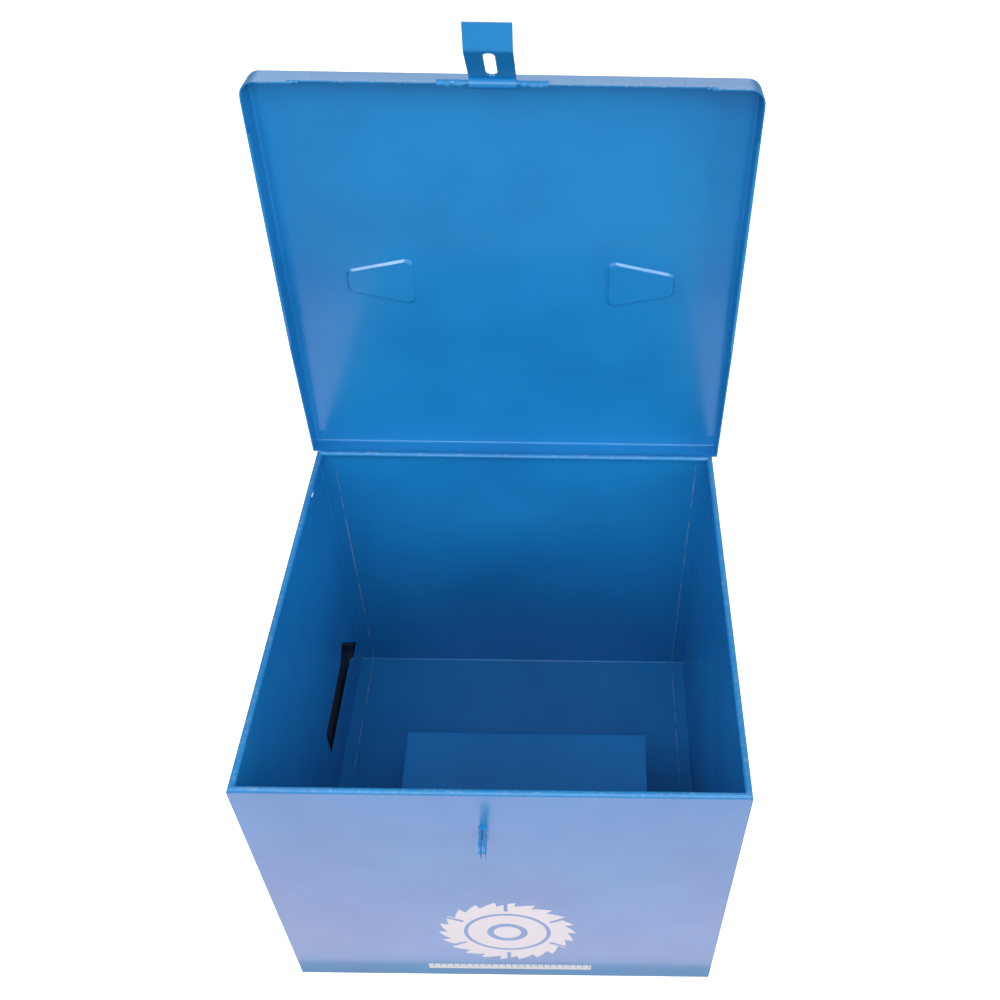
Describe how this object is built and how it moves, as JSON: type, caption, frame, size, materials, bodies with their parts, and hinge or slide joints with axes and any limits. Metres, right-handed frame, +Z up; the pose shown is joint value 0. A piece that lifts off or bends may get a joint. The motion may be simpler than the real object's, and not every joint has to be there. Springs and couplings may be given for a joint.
{
  "type": "steel case for a portable circular saw",
  "caption": "Open steel case with rolled rims, a raised shelf inside, a slot with a closed pocket, a hinged lid, a slotted hasp and a folding handle.",
  "frame": {"origin": "middle of the bottom face of the box", "axes": "+X to the right seen from the front, +Y to the back where the hinges are, +Z up; the lid stands open"},
  "size_m": [0.341, 0.3594, 0.6337],
  "materials": {
    "case_paint": "glossy blue enamel on sheet steel",
    "lid_paint": "glossy blue enamel on sheet steel",
    "hardware_paint": "glossy blue enamel brushed over welded hardware"
  },
  "bodies": {
    "case": {"body_wrap": "case_paint", "left_side_panel": "case_paint", "right_side_panel": "case_paint", "blade_pocket": "case_paint", "saw_shelf": "case_paint", "padlock_staple": "hardware_paint", "left_hinge_case_leaf": "hardware_paint", "right_hinge_case_leaf": "hardware_paint", "left_hinge_pin": "hardware_paint", "right_hinge_pin": "hardware_paint"},
    "lid": {"lid_panel": "lid_paint", "left_hinge_lid_leaf": "hardware_paint", "right_hinge_lid_leaf": "hardware_paint", "left_handle_strap": "hardware_paint", "right_handle_strap": "hardware_paint", "hasp_rod": "hardware_paint"},
    "hasp": {"hasp_strap": "hardware_paint"},
    "handle": {"handle_bail": "hardware_paint"}
  },
  "joints": [
    {"name": "lid_hinge", "type": "hinge", "parent": "case", "child": "lid", "pos_m": [0, 0.1581, 0.274], "axis": [-1, 0, 0], "range_deg": [-92.5, 0]},
    {"name": "hasp_hinge", "type": "hinge", "parent": "lid", "child": "hasp", "pos_m": [-0.006, 0.16374, 0.58725], "axis": [-1, 0, 0], "range_deg": [-45, 90]},
    {"name": "handle_pivot", "type": "hinge", "parent": "lid", "child": "handle", "pos_m": [0, 0.17767, 0.4312], "axis": [1, 0, 0], "range_deg": [0, 148]}
  ]
}
